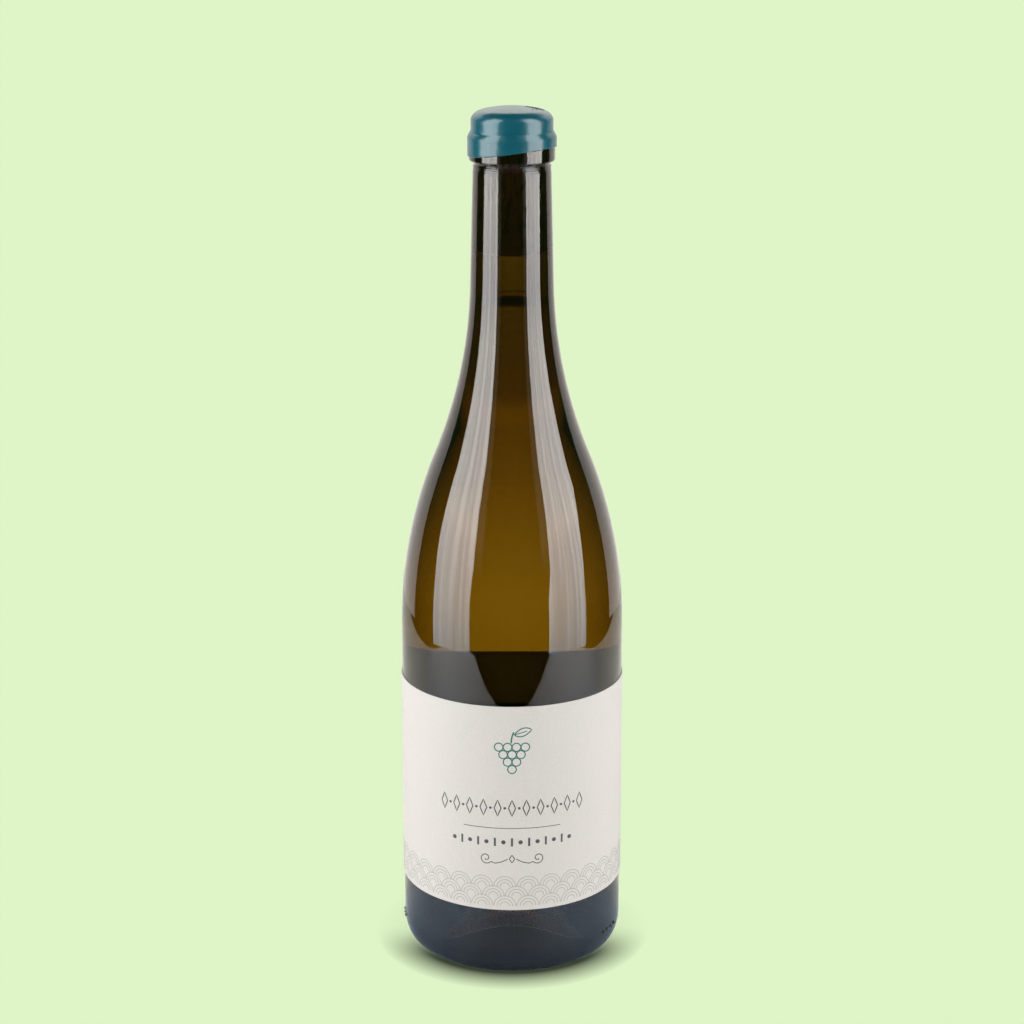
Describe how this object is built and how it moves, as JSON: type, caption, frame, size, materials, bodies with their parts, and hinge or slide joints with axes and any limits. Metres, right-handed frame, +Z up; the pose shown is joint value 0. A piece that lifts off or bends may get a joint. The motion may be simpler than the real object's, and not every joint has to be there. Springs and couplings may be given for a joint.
{
  "type": "wine bottle",
  "caption": "Full wine bottle with sloping shoulders: tinted olive-brown glass, pale wine, cork, a dipped teal wax seal over the mouth and a wrap-round paper label.",
  "frame": {"origin": "centre of the flat ring that the bottle stands on, at the level of the surface under it", "axes": "+Z up along the bottle's axis to the wax seal, -Y towards the middle of the label's front, +X to the right of the label"},
  "size_m": [0.0815, 0.0815, 0.3116],
  "materials": {
    "tinted_glass": "smooth gloss, olive-brown tint",
    "wine": "clear pale gold drink",
    "cork": "natural cork, matte",
    "wax": "dipped sealing wax, soft gloss",
    "label_paper": "uncoated warm white paper, matte"
  },
  "bodies": {
    "root": {"bottle_glass": "tinted_glass", "wine": "wine", "cork": "cork", "wax_seal": "wax", "label": "label_paper"}
  },
  "joints": []
}
